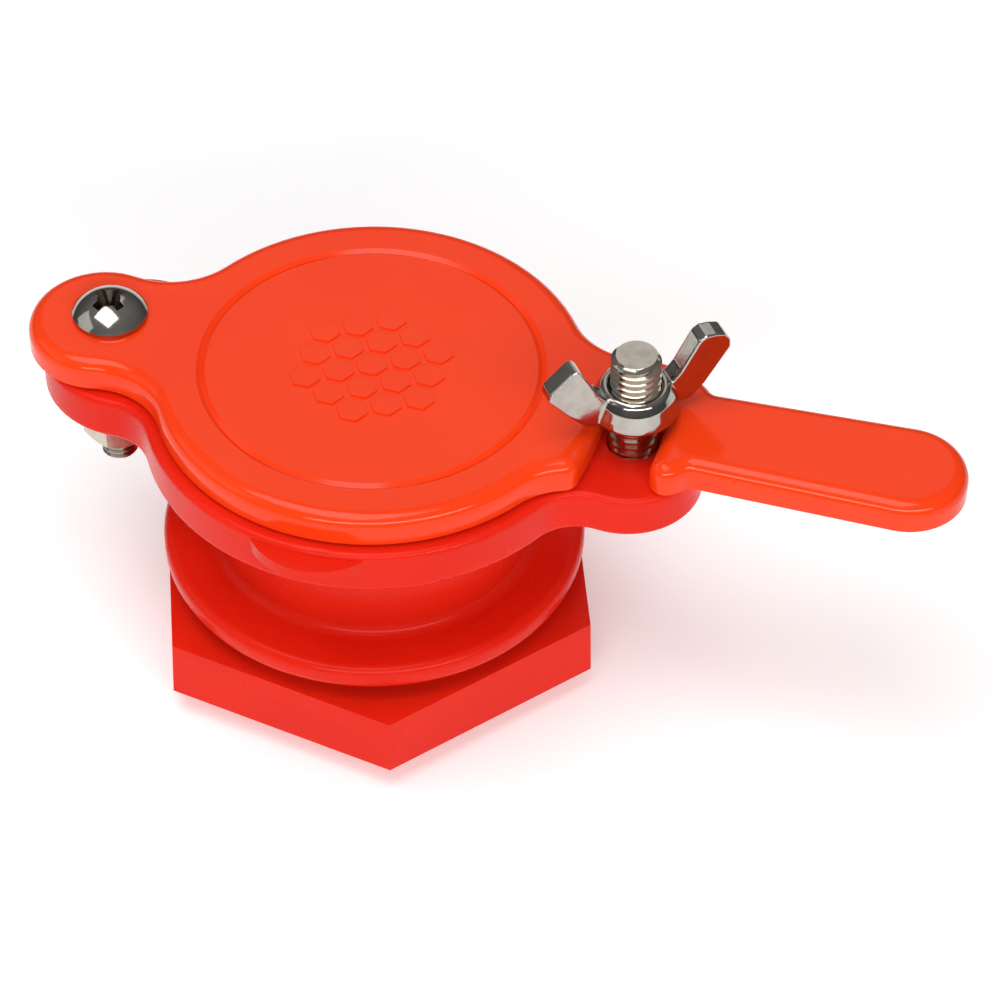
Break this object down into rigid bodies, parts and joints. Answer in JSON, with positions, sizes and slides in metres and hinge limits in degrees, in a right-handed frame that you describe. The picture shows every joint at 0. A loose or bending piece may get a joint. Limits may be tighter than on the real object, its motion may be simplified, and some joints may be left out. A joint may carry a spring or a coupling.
{
  "type": "honey gate valve",
  "caption": "Plastic swing-gate valve: a handled plate pivots over a flanged, threaded spigot and is clamped shut by a wing nut, to drain honey or thick liquid from a tank.",
  "frame": {"origin": "on the bore's axis, on the face of the flange that seals to the tank wall", "axes": "+Z along the bore away from the tank, towards the gate; +X from the bore to the handle; +Y is the way the handle swings to open; the drip lip is at -Y"},
  "size_m": [0.1519, 0.0771, 0.071],
  "materials": {
    "body_plastic": "satin",
    "gate_plastic": "gloss",
    "gasket_rubber": "matte",
    "bright_steel": "polished",
    "plated_steel": "plated"
  },
  "bodies": {
    "valve_body": {"valve_body": "body_plastic", "pivot_screw": "bright_steel", "pivot_washer": "plated_steel", "pivot_nut": "plated_steel", "pivot_lock_nut": "plated_steel", "clamp_bolt": "plated_steel"},
    "gate": {"gate": "gate_plastic"},
    "wing_nut": {"wing_nut": "bright_steel"},
    "gasket": {"flange_gasket": "gasket_rubber"},
    "back_nut": {"back_nut": "body_plastic"}
  },
  "joints": [
    {"name": "gate_swing", "type": "hinge", "parent": "valve_body", "child": "gate", "pos_m": [-0.0435, 0, 0.0358], "axis": [0, 0, 1], "range_deg": [0, 345]},
    {"name": "wing_nut_turn", "type": "hinge", "parent": "valve_body", "child": "wing_nut", "pos_m": [0.0426, 0, 0.0398], "axis": [0, 0, 1], "continuous": true},
    {"name": "gasket_travel", "type": "slide", "parent": "valve_body", "child": "gasket", "axis": [0, 0, -1], "range_m": [0, 0.008]},
    {"name": "back_nut_turn", "type": "hinge", "parent": "gasket", "child": "back_nut", "pos_m": [0, 0, -0.0084], "axis": [0, 0, -1], "range_deg": [0, 970]}
  ],
  "couplings": [
    {"joint": "back_nut_turn", "follows": "gasket_travel", "rad_per_m": 2094.4}
  ]
}
